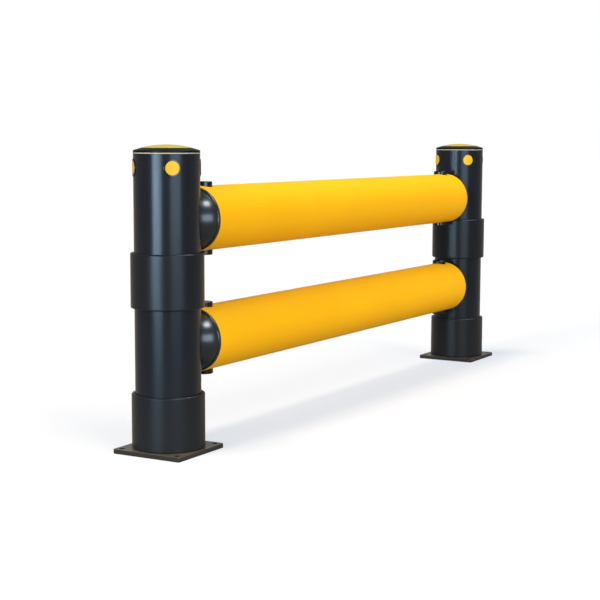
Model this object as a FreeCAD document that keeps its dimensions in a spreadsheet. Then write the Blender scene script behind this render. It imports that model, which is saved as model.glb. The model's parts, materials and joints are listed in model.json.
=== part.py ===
import FreeCAD, Part
import math
import os

import Sketcher

# Flexible road barrier: two round posts on bolted steel base plates, joined by two hollow rails.
# X runs along the rails, Z is up, and the origin is on the floor, midway between the two posts.
# All sizes are in millimetres.

Vector = FreeCAD.Vector
Rotation = FreeCAD.Rotation
UP = Vector(0, 0, 1)
FULL_TURN = 360
QUARTER_TURN = 90
SNAP = 0.001

# Driving sizes, each written once: name, size, what it is.
SIZES = [
    ("post_spacing", 2170, "between the axes of the two posts"),
    ("post_diameter", 200, "outside of the post tube"),
    ("post_wall", 10, "wall of the post tube"),
    ("post_reach", 201, "post tube above the axis of the upper rail"),
    ("plate_side", 242, "side of the square base plate"),
    ("plate_thickness", 14, "thickness of the base plate"),
    ("plate_corner", 6, "corner radius of the base plate"),
    ("plate_bevel", 1, "bevel round the top of the base plate"),
    ("anchor_pitch", 202, "between two anchor holes along a side"),
    ("anchor_hole", 18, "diameter of an anchor hole"),
    ("socket_height", 200, "steel socket tube above the base plate"),
    ("socket_wall", 6, "wall of the socket tube"),
    ("socket_clearance", 0.3, "radial play between socket and post"),
    ("weld_leg", 6, "leg of the weld inside the socket"),
    ("screw_diameter", 10, "shank of a socket screw"),
    ("screw_head", 20, "head of a socket screw"),
    ("screw_sink", 0.8, "depth of the screw heads below the post's surface"),
    ("screw_clearance", 0.2, "play around a socket screw"),
    ("screw_end", 6, "length of a screw past the socket wall"),
    ("collar_height", 166, "height of each collar"),
    ("collar_wall", 11, "wall of a collar"),
    ("collar_clearance", 0.3, "radial play between collar and post"),
    ("collar_edge", 4, "rounding of a collar's outer edges"),
    ("collar_lead", 1.5, "bevel at a collar's bore"),
    ("collar_gap", 14, "from the top of the lower rail up to the middle collar"),
    ("rail_diameter", 202, "outside of a rail tube"),
    ("rail_wall", 8, "wall of a rail tube"),
    ("rail_bevel", 2, "bevel round the ends of a rail tube"),
    ("lower_gap", 44, "from the lower collar up to the lower rail"),
    ("upper_sink", 7, "from the underside of the upper rail up to the middle collar's top"),
    ("rail_gap", 40.5, "from the post's surface to the rail's end"),
    ("flange_thickness", 10, "coupler flange between rail and dome"),
    ("flange_step", 1, "flange radius below the rail's radius"),
    ("flange_edge", 4, "rounding of the flange towards the post"),
    ("dome_step", 4.5, "dome radius below the flange's radius"),
    ("dome_overlap", 34, "depth of the uncut dome inside the post's surface"),
    ("dome_wall", 9, "wall of the dome"),
    ("dome_clearance", 0.3, "between the dome and the post"),
    ("skirt_length", 125, "coupler skirt inside the rail"),
    ("skirt_wall", 8, "wall of the skirt"),
    ("skirt_clearance", 0.4, "radial play between skirt and rail"),
    ("web_thickness", 8, "crossed webs inside the skirt"),
    ("web_setback", 8, "webs short of the skirt's end"),
    ("boss_wall", 10, "wall of the boss around the pin"),
    ("neck_diameter", 90, "coupler neck through the post's wall"),
    ("neck_clearance", 0.3, "radial play around the neck"),
    ("neck_end_wall", 12, "neck behind the locking dowel"),
    ("dowel_diameter", 20, "locking dowel inside the post"),
    ("dowel_clearance", 0.3, "play around the dowel"),
    ("dowel_extra", 12, "dowel past the neck at each end"),
    ("dowel_bevel", 2, "bevel at the dowel's ends"),
    ("pin_diameter", 36, "upright pin through rail and coupler"),
    ("pin_clearance", 0.3, "radial play around the pin"),
    ("pin_setback", 55, "from the rail's end to the pin's axis"),
    ("pin_head", 55, "diameter of the pin's head and of its cap"),
    ("pin_head_height", 13, "height of head and cap above the rail"),
    ("pin_head_edge", 3, "rounding of head and cap"),
    ("pin_bevel", 2, "bevel at the pin's lower end"),
    ("pin_grip", 8, "depth of the pin in its cap"),
    ("saddle_clearance", 0.3, "between head or cap and the rail"),
    ("seal_height", 3, "pale seal ring under the cap"),
    ("seal_proud", 0.5, "seal ring past the post's surface"),
    ("cap_rim", 7, "upright rim of the post cap"),
    ("cap_rise", 16.5, "dome of the post cap above its rim"),
    ("cap_shell", 5, "thickness of the cap's dome"),
    ("cap_skirt", 22, "cap skirt below the post's top"),
    ("cap_skirt_wall", 5, "wall of the cap's skirt"),
    ("cap_clearance", 0.3, "radial play between cap and post"),
    ("disc_diameter", 148, "yellow disc in the cap"),
    ("disc_sink", 1.5, "depth of the disc's seat"),
    ("disc_proud", 0.5, "disc above the cap's dome"),
    ("disc_clearance", 0.3, "play around the disc"),
    ("reflector_drop", 41.5, "from the post's top down to the reflectors' axes"),
    ("reflector_diameter", 52.5, "outside of a reflector's body"),
    ("reflector_proud", 2.2, "reflector body past the post's surface"),
    ("reflector_clearance", 0.2, "between the reflector body and the post"),
    ("stem_diameter", 20, "reflector stem through the post's wall"),
    ("stem_clearance", 0.2, "radial play around the stem"),
    ("stem_end", 4, "stem past the post's bore"),
    ("lens_diameter", 42, "reflector lens"),
    ("lens_thickness", 1.2, "thickness of the lens"),
    ("lens_proud", 0.5, "lens past the reflector body"),
    ("lens_clearance", 0.2, "radial play around the lens"),
]

# Sizes and places that follow from the driving sizes.
PLACES = [
    ("post_radius", "sizes.post_diameter / 2"),
    ("post_bore", "post_radius - sizes.post_wall"),
    ("socket_radius", "post_bore - sizes.socket_clearance"),
    ("socket_bore", "socket_radius - sizes.socket_wall"),
    ("socket_top", "sizes.plate_thickness + sizes.socket_height"),
    ("screw_height", "sizes.plate_thickness + sizes.collar_height / 2"),
    ("screw_face", "post_radius - sizes.screw_sink"),
    ("screw_cone", "(sizes.screw_head - sizes.screw_diameter) / 2"),
    ("screw_tip", "socket_bore - sizes.screw_end"),
    ("screw_hole", "sizes.screw_diameter / 2 + sizes.screw_clearance"),
    ("collar_bore", "post_radius + sizes.collar_clearance"),
    ("collar_radius", "collar_bore + sizes.collar_wall"),
    ("rail_radius", "sizes.rail_diameter / 2"),
    ("rail_bore", "rail_radius - sizes.rail_wall"),
    ("lower_collar_top", "sizes.plate_thickness + sizes.collar_height"),
    ("lower_rail", "lower_collar_top + sizes.lower_gap + rail_radius"),
    ("middle_collar_bottom", "lower_rail + rail_radius + sizes.collar_gap"),
    ("middle_collar_top", "middle_collar_bottom + sizes.collar_height"),
    ("upper_rail", "middle_collar_top - sizes.upper_sink + rail_radius"),
    ("post_top", "upper_rail + sizes.post_reach"),
    ("rail_end", "post_radius + sizes.rail_gap"),
    ("rail_length", "sizes.post_spacing - 2 * rail_end"),
    ("pin_place", "rail_end + sizes.pin_setback"),
    ("pin_hole", "sizes.pin_diameter / 2 + sizes.pin_clearance"),
    ("pin_in_rail", "rail_length / 2 - sizes.pin_setback"),
    ("pin_head_radius", "sizes.pin_head / 2"),
    ("saddle_radius", "rail_radius + sizes.saddle_clearance"),
    ("saddle_root", "sqrt(rail_radius ^ 2 - pin_head_radius ^ 2)"),
    ("pin_head_top", "rail_radius + sizes.pin_head_height"),
    ("pin_foot", "rail_radius + sizes.pin_grip"),
    ("flange_radius", "rail_radius - sizes.flange_step"),
    ("flange_face", "rail_end - sizes.flange_thickness"),
    ("dome_radius", "flange_radius - sizes.dome_step"),
    ("dome_apex", "post_radius - sizes.dome_overlap"),
    ("dome_depth", "flange_face - dome_apex"),
    ("dome_sphere", "(dome_radius ^ 2 + dome_depth ^ 2) / (2 * dome_depth)"),
    ("dome_centre", "dome_apex + dome_sphere"),
    ("dome_hollow", "dome_sphere - sizes.dome_wall"),
    ("dome_floor", "post_radius + sizes.dome_clearance + sizes.dome_wall"),
    ("dome_floor_radius", "sqrt(dome_hollow ^ 2 - (dome_centre - dome_floor) ^ 2)"),
    ("skirt_radius", "rail_bore - sizes.skirt_clearance"),
    ("skirt_bore", "skirt_radius - sizes.skirt_wall"),
    ("skirt_middle", "(skirt_radius + skirt_bore) / 2"),
    ("skirt_end", "rail_end + sizes.skirt_length"),
    ("hollow_start", "dome_centre - sqrt(dome_hollow ^ 2 - skirt_bore ^ 2)"),
    ("web_start", "flange_face + sizes.flange_thickness / 2"),
    ("web_end", "skirt_end - sizes.web_setback"),
    ("boss_radius", "pin_hole + sizes.boss_wall"),
    ("boss_half", "sqrt(skirt_radius ^ 2 - boss_radius ^ 2) - sizes.skirt_wall / 8"),
    ("neck_radius", "sizes.neck_diameter / 2"),
    ("neck_hole", "neck_radius + sizes.neck_clearance"),
    ("dowel_radius", "sizes.dowel_diameter / 2"),
    ("dowel_hole", "dowel_radius + sizes.dowel_clearance"),
    ("dowel_place", "post_bore - dowel_radius - sizes.dowel_clearance"),
    ("dowel_half", "neck_radius + sizes.dowel_extra"),
    ("neck_tip", "dowel_place - dowel_radius - sizes.neck_end_wall"),
    ("seal_top", "post_top + sizes.seal_height"),
    ("seal_radius", "post_radius + sizes.seal_proud"),
    ("cap_rim_top", "seal_top + sizes.cap_rim"),
    ("cap_top", "cap_rim_top + sizes.cap_rise"),
    ("cap_sphere", "(post_radius ^ 2 + sizes.cap_rise ^ 2) / (2 * sizes.cap_rise)"),
    ("cap_centre", "cap_top - cap_sphere"),
    ("cap_under", "cap_sphere - sizes.cap_shell"),
    ("cap_seat", "cap_sphere - sizes.disc_sink"),
    ("cap_skirt_radius", "post_bore - sizes.cap_clearance"),
    ("cap_skirt_bore", "cap_skirt_radius - sizes.cap_skirt_wall"),
    ("cap_skirt_bottom", "post_top - sizes.cap_skirt"),
    ("disc_radius", "sizes.disc_diameter / 2"),
    ("disc_hole", "disc_radius + sizes.disc_clearance"),
    ("disc_sphere", "cap_sphere + sizes.disc_proud"),
    ("reflector_height", "post_top - sizes.reflector_drop"),
    ("reflector_radius", "sizes.reflector_diameter / 2"),
    ("reflector_reach", "reflector_radius + sizes.post_wall"),
    ("reflector_seat", "post_radius + sizes.reflector_clearance"),
    ("reflector_face", "post_radius + sizes.reflector_proud"),
    ("stem_radius", "sizes.stem_diameter / 2"),
    ("stem_hole", "stem_radius + sizes.stem_clearance"),
    ("stem_tip", "post_bore - sizes.stem_end"),
    ("lens_radius", "sizes.lens_diameter / 2"),
    ("lens_hole", "lens_radius + sizes.lens_clearance"),
    ("lens_face", "reflector_face + sizes.lens_proud"),
    ("lens_seat", "lens_face - sizes.lens_thickness"),
]

doc = FreeCAD.newDocument("road_barrier")


def fill_sheet(name, rows):
    """Makes a spreadsheet with one named cell for each row."""
    sheet = doc.addObject("Spreadsheet::Sheet", name)
    for number, row in enumerate(rows, start=1):
        cell = "B%d" % number
        sheet.set("A%d" % number, row[0])
        sheet.set(cell, str(row[1]))
        sheet.setAlias(cell, row[0])
        if len(row) > 2:
            sheet.set("C%d" % number, row[2])
    doc.recompute()
    return sheet


sizes = fill_sheet("sizes", SIZES)
places = fill_sheet("places", [(name, "=" + formula) for name, formula in PLACES])


def value(expression):
    """The number that an expression on the two sheets gives."""
    return float(places.evalExpression(expression))


# Sketches


def sketch_on(body, name, role, height=None, turn=0):
    """Makes a sketch on one of the body's own origin planes, raised by height and turned about Z."""
    plane = next(item for item in body.Origin.OriginFeatures if item.Role == role)
    sketch = body.newObject("Sketcher::SketchObject", name)
    sketch.AttachmentSupport = [(plane, "")]
    sketch.MapMode = "FlatFace"
    if turn:
        sketch.AttachmentOffset = FreeCAD.Placement(Vector(), Rotation(Vector(0, 1, 0), turn))
    if height:
        sketch.setExpression("AttachmentOffset.Base.z", height)
    return sketch


def hold_point(sketch, edge, end, x, y):
    """Fixes one end of a sketch edge at x and y from the sketch's origin."""
    for kind, axis, expression in (("DistanceX", -2, x), ("DistanceY", -1, y)):
        if expression == "0":
            sketch.addConstraint(Sketcher.Constraint("PointOnObject", edge, end, axis))
        else:
            held = Sketcher.Constraint(kind, -1, 1, edge, end, value(expression))
            number = sketch.addConstraint(held)
            sketch.setExpression("Constraints[%d]" % number, expression)


def arc_between(start, end, about):
    """An arc from start to end whose centre lies on the sketch's V or H axis, and its end numbers."""
    (px, py), (qx, qy) = start, end
    spread = (px ** 2 + py ** 2 - qx ** 2 - qy ** 2) / 2
    centre = Vector(0, spread / (py - qy), 0) if about == "V" else Vector(spread / (px - qx), 0, 0)
    angles = [math.atan2(y - centre.y, x - centre.x) for x, y in (start, end)]
    radius = math.hypot(px - centre.x, py - centre.y)
    forward = math.sin(angles[1] - angles[0]) > 0
    low, high = angles if forward else reversed(angles)
    arc = Part.ArcOfCircle(Part.Circle(centre, UP, radius), low, high)
    return arc, (1, 2) if forward else (2, 1)


def outline(sketch, corners):
    """Draws a closed outline. A corner is (x, y), or (x, y, "V" or "H") where an arc leaves it."""
    points = [(value(corner[0]), value(corner[1])) for corner in corners]
    ends = []
    for index, corner in enumerate(corners):
        start = points[index]
        end = points[(index + 1) % len(points)]
        if len(corner) > 2:
            edge, numbers = arc_between(start, end, corner[2])
        else:
            edge, numbers = Part.LineSegment(Vector(*start, 0), Vector(*end, 0)), (1, 2)
        sketch.addGeometry(edge, False)
        ends.append(numbers)
    for index, corner in enumerate(corners):
        following = (index + 1) % len(corners)
        joined = (index, ends[index][1], following, ends[following][0])
        sketch.addConstraint(Sketcher.Constraint("Coincident", *joined))
        hold_point(sketch, index, ends[index][0], corner[0], corner[1])
        if len(corner) > 2:
            axis = -2 if corner[2] == "V" else -1
            sketch.addConstraint(Sketcher.Constraint("PointOnObject", index, 3, axis))


def circle(sketch, x, y, radius):
    """Draws a circle with its centre at x and y."""
    centre = Vector(value(x), value(y), 0)
    edge = sketch.addGeometry(Part.Circle(centre, UP, value(radius)), False)
    hold_point(sketch, edge, 3, x, y)
    number = sketch.addConstraint(Sketcher.Constraint("Radius", edge, value(radius)))
    sketch.setExpression("Constraints[%d]" % number, radius)


def rectangle(low_x, low_y, high_x, high_y):
    """The corners of an upright rectangle."""
    return [(low_x, low_y), (high_x, low_y), (high_x, high_y), (low_x, high_y)]


# Features


def new_body(name, x="0", z="0", turn=0):
    """Makes a body that stands at x and z and is turned about the upright."""
    body = doc.addObject("PartDesign::Body", name)
    body.Placement = FreeCAD.Placement(Vector(), Rotation(UP, turn))
    body.setExpression("Placement.Base.x", x)
    body.setExpression("Placement.Base.z", z)
    return body


def turned(body, name, corners, axis="V_Axis"):
    """Turns an outline in the XZ plane about the upright, or about X with H_Axis."""
    sketch = sketch_on(body, name + "_sketch", "XZ_Plane")
    outline(sketch, corners)
    feature = body.newObject("PartDesign::Revolution", name)
    feature.Profile = sketch
    feature.ReferenceAxis = (sketch, [axis])
    feature.Angle = FULL_TURN
    return feature


def turned_cut(body, name, corners, axis="V_Axis"):
    """Cuts away an outline in the XZ plane turned about the upright, or about X with H_Axis."""
    sketch = sketch_on(body, name + "_sketch", "XZ_Plane")
    outline(sketch, corners)
    feature = body.newObject("PartDesign::Groove", name)
    feature.Profile = sketch
    feature.ReferenceAxis = (sketch, [axis])
    feature.Angle = FULL_TURN
    return feature


def side_hole(body, name, height, steps, turn=0):
    """Cuts a round hole that points sideways from the upright axis at a height.

    steps are pairs of distance from the upright axis and radius, from the inside out.
    """
    sketch = sketch_on(body, name + "_sketch", "XZ_Plane", turn=turn)
    rim = [(distance, "%s + %s" % (height, radius)) for distance, radius in steps]
    outline(sketch, [(steps[0][0], height)] + rim + [(steps[-1][0], height)])
    middle = Vector(0, value(height), 0)
    centre_line = Part.LineSegment(middle, middle + Vector(value(steps[-1][0]), 0, 0))
    edge = sketch.addGeometry(centre_line, True)
    hold_point(sketch, edge, 1, "0", height)
    hold_point(sketch, edge, 2, steps[-1][0], height)
    feature = body.newObject("PartDesign::Groove", name)
    feature.Profile = sketch
    feature.ReferenceAxis = (sketch, ["Axis0"])
    feature.Angle = FULL_TURN
    return feature


def raised(body, name, sketch, length, both_ways=False):
    """Pads a sketch by a length along its normal, or half of it each way."""
    feature = body.newObject("PartDesign::Pad", name)
    feature.Profile = sketch
    feature.setExpression("Length", length)
    if both_ways:
        feature.SideType = "Symmetric"
    return feature


def pierced(body, name, sketch, length, both_ways=False):
    """Cuts a sketch by a length along its normal, or half of it each way."""
    feature = body.newObject("PartDesign::Pocket", name)
    feature.Profile = sketch
    feature.setExpression("Length", length)
    if both_ways:
        feature.SideType = "Symmetric"
    else:
        feature.Reversed = True
    return feature


def repeated(body, name, feature, count):
    """Repeats a feature evenly about the body's upright axis."""
    axis = next(item for item in body.Origin.OriginFeatures if item.Role == "Z_Axis")
    pattern = body.newObject("PartDesign::PolarPattern", name)
    pattern.Originals = [feature]
    pattern.Axis = (axis, [""])
    pattern.Angle = FULL_TURN
    pattern.Occurrences = count
    body.Tip = pattern
    return pattern


def dressed(body, kind, name, feature, wanted, size_name, size):
    """Adds a Fillet or a Chamfer on the edges of a feature that wanted picks."""
    doc.recompute()
    edges = enumerate(feature.Shape.Edges, start=1)
    chosen = ["Edge%d" % number for number, edge in edges if wanted(edge)]
    dressing = body.newObject("PartDesign::" + kind, name)
    dressing.Base = (feature, chosen)
    dressing.setExpression(size_name, size)
    return dressing


def rounded(body, name, feature, wanted, radius):
    """Rounds the chosen edges of a feature."""
    return dressed(body, "Fillet", name, feature, wanted, "Radius", radius)


def bevelled(body, name, feature, wanted, size):
    """Bevels the chosen edges of a feature."""
    return dressed(body, "Chamfer", name, feature, wanted, "Size", size)


def ring_at(radius, level, axis="z"):
    """Picks round edges of a radius whose centres lie at a level along an axis."""
    def wanted(edge):
        if edge.Degenerated or not isinstance(edge.Curve, Part.Circle):
            return False
        place = getattr(edge.Curve.Center, axis)
        same_size = abs(edge.Curve.Radius - value(radius)) < SNAP
        return same_size and abs(place - value(level)) < SNAP
    return wanted


def either(*tests):
    """Picks edges that any of the tests picks."""
    return lambda edge: any(test(edge) for test in tests)


def upright_corner(edge):
    """Picks straight upright edges at the corners of the base plate."""
    low, high = (vertex.Point for vertex in (edge.Vertexes[0], edge.Vertexes[-1]))
    straight = isinstance(edge.Curve, Part.Line)
    return straight and abs(low.x - high.x) < SNAP and abs(low.y - high.y) < SNAP


# Base plate: square plate with four anchor holes and a socket tube welded on for the post.


def base_plate(name, x):
    body = new_body(name, x)
    half = "sizes.plate_side / 2"
    sketch = sketch_on(body, name + "_sketch", "XY_Plane")
    outline(sketch, rectangle("-" + half, "-" + half, half, half))
    plate = raised(body, name + "_plate", sketch, "sizes.plate_thickness")
    plate = rounded(body, name + "_corners", plate, upright_corner, "sizes.plate_corner")
    doc.recompute()
    top = value("sizes.plate_thickness")
    reach = value("sizes.anchor_hole")

    def top_edge(edge):
        level = all(abs(vertex.Z - top) < SNAP for vertex in edge.Vertexes)
        return level and edge.CenterOfMass.Length > reach
    bevelled(body, name + "_bevel", plate, top_edge, "sizes.plate_bevel")
    hole_sketch = sketch_on(body, name + "_anchor_sketch", "XY_Plane")
    circle(hole_sketch, "sizes.anchor_pitch / 2", "sizes.anchor_pitch / 2", "sizes.anchor_hole / 2")
    hole = pierced(body, name + "_anchor_hole", hole_sketch, "sizes.plate_thickness")
    repeated(body, name + "_anchor_holes", hole, 4)
    weld = "places.socket_bore - sizes.weld_leg"
    turned(body, name + "_socket", [
        (weld, "sizes.plate_thickness"),
        ("places.socket_radius", "sizes.plate_thickness"),
        ("places.socket_radius", "places.socket_top - sizes.socket_wall / 3"),
        ("places.socket_radius - sizes.socket_wall / 3", "places.socket_top"),
        ("places.socket_bore", "places.socket_top"),
        ("places.socket_bore", "sizes.plate_thickness + sizes.weld_leg"),
    ])
    tapped = side_hole(body, name + "_screw_hole", "places.screw_height", [
        ("places.socket_bore - sizes.weld_leg", "places.screw_hole"),
        ("places.post_radius", "places.screw_hole"),
    ])
    repeated(body, name + "_screw_holes", tapped, 4)
    return body


# Post: plastic tube over the socket, with holes for the couplers, the screws and the reflectors.


def post(name, x, turn):
    body = new_body(name, x, turn=turn)
    turned(body, name + "_tube", [
        ("places.post_bore", "sizes.plate_thickness"),
        ("places.post_radius", "sizes.plate_thickness"),
        ("places.post_radius", "places.post_top"),
        ("places.post_bore", "places.post_top"),
    ])
    inside = "places.post_bore / 2"
    outside = "places.post_radius + sizes.post_wall"
    for rail in ("lower_rail", "upper_rail"):
        side_hole(body, "%s_%s_hole" % (name, rail), "places." + rail, [
            (inside, "places.neck_hole"),
            (outside, "places.neck_hole"),
        ])
    head = "places.screw_hole + places.screw_cone"
    screw = side_hole(body, name + "_screw_hole", "places.screw_height", [
        (inside, "places.screw_hole"),
        ("places.screw_face - places.screw_cone", "places.screw_hole"),
        ("places.screw_face", head),
        (outside, head),
    ])
    repeated(body, name + "_screw_holes", screw, 4)
    stem = side_hole(body, name + "_stem_hole", "places.reflector_height", [
        (inside, "places.stem_hole"),
        (outside, "places.stem_hole"),
    ], turn=QUARTER_TURN / 2)
    repeated(body, name + "_stem_holes", stem, 4)
    return body


# Collars: plain sleeves, one standing on the base plate and one between the rails.


def collar(name, x, bottom):
    body = new_body(name, x, z=bottom)
    tube = turned(body, name + "_sleeve", [
        ("places.collar_bore", "0"),
        ("places.collar_radius", "0"),
        ("places.collar_radius", "sizes.collar_height"),
        ("places.collar_bore", "sizes.collar_height"),
    ])
    tube = rounded(body, name + "_edges", tube, either(
        ring_at("places.collar_radius", "0"),
        ring_at("places.collar_radius", "sizes.collar_height"),
    ), "sizes.collar_edge")
    bevelled(body, name + "_lead", tube, either(
        ring_at("places.collar_bore", "0"),
        ring_at("places.collar_bore", "sizes.collar_height"),
    ), "sizes.collar_lead")
    return body


# Socket screws: four countersunk screws through the post's wall into the socket.


def screw(name, x, turn):
    shank = doc.addObject("Part::Cylinder", name + "_shank")
    shank.Placement = FreeCAD.Placement(Vector(), Rotation(Vector(0, 1, 0), QUARTER_TURN))
    shank.setExpression("Radius", "sizes.screw_diameter / 2")
    shank.setExpression("Height", "places.screw_face - places.screw_tip")
    shank.setExpression("Placement.Base.x", "places.screw_tip")
    head = doc.addObject("Part::Cone", name + "_head")
    head.Placement = FreeCAD.Placement(Vector(), Rotation(Vector(0, 1, 0), QUARTER_TURN))
    head.setExpression("Radius1", "sizes.screw_diameter / 2")
    head.setExpression("Radius2", "sizes.screw_head / 2")
    head.setExpression("Height", "places.screw_cone")
    head.setExpression("Placement.Base.x", "places.screw_face - places.screw_cone")
    whole = doc.addObject("Part::Fuse", name)
    whole.Base = shank
    whole.Tool = head
    whole.Refine = True
    whole.Placement = FreeCAD.Placement(Vector(), Rotation(UP, turn))
    whole.setExpression("Placement.Base.x", x)
    whole.setExpression("Placement.Base.z", "places.screw_height")
    return whole


def socket_screws(name, x):
    group = doc.addObject("Part::Compound", name)
    group.Links = [screw("%s_%d" % (name, number), x, QUARTER_TURN * number) for number in range(4)]
    return group


# Rail: hollow tube with square ends and an upright pin hole near each end.


def rail(name, z):
    body = new_body(name, z=z)
    sketch = sketch_on(body, name + "_sketch", "YZ_Plane")
    circle(sketch, "0", "0", "places.rail_radius")
    circle(sketch, "0", "0", "places.rail_bore")
    tube = raised(body, name + "_tube", sketch, "places.rail_length", both_ways=True)
    bevelled(body, name + "_bevel", tube, either(
        ring_at("places.rail_radius", "places.rail_length / 2", "x"),
        ring_at("places.rail_radius", "-places.rail_length / 2", "x"),
    ), "sizes.rail_bevel")
    holes = sketch_on(body, name + "_hole_sketch", "XY_Plane")
    for side in ("", "-"):
        circle(holes, side + "places.pin_in_rail", "0", "places.pin_hole")
    pierced(body, name + "_pin_holes", holes, "2 * places.pin_head_top", both_ways=True)
    return body


# Coupler: one moulding that plugs into the rail's end, bulges out of it as a dome that is hollowed
# to the post's curve, and reaches through the post's wall with a neck. X points from the post's
# axis into the rail.


def coupler(name, x, z, turn):
    body = new_body(name, x, z, turn)
    shell = turned(body, name + "_shell", [
        ("places.dome_apex", "0", "H"),
        ("places.flange_face", "places.dome_radius"),
        ("places.flange_face", "places.flange_radius"),
        ("places.rail_end", "places.flange_radius"),
        ("places.rail_end", "places.skirt_radius"),
        ("places.skirt_end", "places.skirt_radius"),
        ("places.skirt_end", "places.skirt_bore"),
        ("places.hollow_start", "places.skirt_bore", "H"),
        ("places.dome_floor", "places.dome_floor_radius"),
        ("places.dome_floor", "0"),
    ], axis="H_Axis")
    rounded(body, name + "_flange_edge", shell,
            ring_at("places.flange_radius", "places.flange_face", "x"), "sizes.flange_edge")
    reach = "places.post_radius + sizes.dome_clearance"
    turned_cut(body, name + "_saddle",
               rectangle("0", "-places.rail_radius", reach, "places.rail_radius"))
    neck = sketch_on(body, name + "_neck_sketch", "YZ_Plane", height="places.neck_tip")
    circle(neck, "0", "0", "places.neck_radius")
    raised(body, name + "_neck", neck, "places.web_start - places.neck_tip")
    for letter, plane in (("upright", "XZ_Plane"), ("level", "XY_Plane")):
        web = sketch_on(body, "%s_%s_web_sketch" % (name, letter), plane)
        outline(web, rectangle("places.web_start", "-places.skirt_middle",
                               "places.web_end", "places.skirt_middle"))
        raised(body, "%s_%s_web" % (name, letter), web, "sizes.web_thickness", both_ways=True)
    boss = sketch_on(body, name + "_boss_sketch", "XY_Plane")
    circle(boss, "places.pin_place", "0", "places.boss_radius")
    raised(body, name + "_boss", boss, "2 * places.boss_half", both_ways=True)
    bores = sketch_on(body, name + "_bore_sketch", "XY_Plane")
    circle(bores, "places.pin_place", "0", "places.pin_hole")
    circle(bores, "places.dowel_place", "0", "places.dowel_hole")
    pierced(body, name + "_bores", bores, "2 * places.rail_radius", both_ways=True)
    return body


# Pin and pin cap: the head and the cap have hollowed faces that sit on the rail's curve.


def saddle_disc(body, name, low, high):
    """Pads a disc between two heights and hollows it to the rail's curve."""
    sketch = sketch_on(body, name + "_disc_sketch", "XY_Plane", height=low)
    circle(sketch, "0", "0", "places.pin_head_radius")
    disc = raised(body, name + "_disc", sketch, "%s - (%s)" % (high, low))
    outer = high if value(high) > 0 else low
    disc = rounded(body, name + "_edge", disc,
                   ring_at("places.pin_head_radius", outer), "sizes.pin_head_edge")
    hollow = rectangle("-sizes.pin_head", "0", "sizes.pin_head", "places.saddle_radius")
    return turned_cut(body, name + "_saddle", hollow, axis="H_Axis")


def pin(name, x, z):
    body = new_body(name, x, z)
    saddle_disc(body, name, "places.saddle_root", "places.pin_head_top")
    sketch = sketch_on(body, name + "_shank_sketch", "XY_Plane", height="-places.pin_foot")
    circle(sketch, "0", "0", "sizes.pin_diameter / 2")
    head_middle = "(places.saddle_radius + places.pin_head_top) / 2"
    shank = raised(body, name + "_shank", sketch, head_middle + " + places.pin_foot")
    bevelled(body, name + "_bevel", shank,
             ring_at("sizes.pin_diameter / 2", "-places.pin_foot"), "sizes.pin_bevel")
    return body


def pin_cap(name, x, z):
    body = new_body(name, x, z)
    saddle_disc(body, name, "-places.pin_head_top", "-places.saddle_root")
    floor = "-places.pin_foot - sizes.pin_clearance"
    sketch = sketch_on(body, name + "_bore_sketch", "XY_Plane", height=floor)
    circle(sketch, "0", "0", "places.pin_hole")
    pierced(body, name + "_bore", sketch, "sizes.pin_head_height + sizes.pin_grip")
    return body


# Dowel: stands behind the post's wall in the coupler's neck and keeps it from pulling out.


def dowel(name, x, z):
    body = new_body(name, x, z)
    sketch = sketch_on(body, name + "_sketch", "XY_Plane")
    circle(sketch, "0", "0", "places.dowel_radius")
    rod = raised(body, name + "_rod", sketch, "2 * places.dowel_half", both_ways=True)
    bevelled(body, name + "_bevel", rod, either(
        ring_at("places.dowel_radius", "places.dowel_half"),
        ring_at("places.dowel_radius", "-places.dowel_half"),
    ), "sizes.dowel_bevel")
    return body


# Seal ring, cap and disc on the post's top.


def seal_ring(name, x):
    body = new_body(name, x)
    turned(body, name + "_ring", [
        ("places.post_bore", "places.post_top"),
        ("places.seal_radius", "places.post_top"),
        ("places.seal_radius", "places.seal_top"),
        ("places.post_bore", "places.seal_top"),
    ])
    return body


def level_on(sphere, radius):
    """Height of a sphere about the cap's centre at a distance from the axis."""
    return "places.cap_centre + sqrt(%s ^ 2 - %s ^ 2)" % (sphere, radius)


def cap(name, x):
    body = new_body(name, x)
    turned(body, name + "_moulding", [
        ("0", "places.cap_centre + places.cap_seat", "V"),
        ("places.disc_hole", level_on("places.cap_seat", "places.disc_hole")),
        ("places.disc_hole", level_on("places.cap_sphere", "places.disc_hole"), "V"),
        ("places.post_radius", "places.cap_rim_top"),
        ("places.post_radius", "places.seal_top"),
        ("places.cap_skirt_radius", "places.seal_top"),
        ("places.cap_skirt_radius", "places.cap_skirt_bottom"),
        ("places.cap_skirt_bore", "places.cap_skirt_bottom"),
        ("places.cap_skirt_bore", level_on("places.cap_under", "places.cap_skirt_bore"), "V"),
        ("0", "places.cap_centre + places.cap_under"),
    ])
    return body


def cap_disc(name, x):
    body = new_body(name, x)
    turned(body, name + "_inlay", [
        ("0", "places.cap_centre + places.cap_seat"),
        ("0", "places.cap_centre + places.disc_sphere", "V"),
        ("places.disc_radius", level_on("places.disc_sphere", "places.disc_radius")),
        ("places.disc_radius", level_on("places.cap_seat", "places.disc_radius"), "V"),
    ])
    return body


# Reflector: round body with a stem through the post's wall, and a lens in its face. X points out
# from the post's axis.


def cut_to_post(body, name, low, high):
    """Cuts a body away between two distances from the post's axis."""
    return turned_cut(body, name, rectangle(low, "-places.reflector_reach",
                                            high, "places.reflector_reach"))


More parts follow.
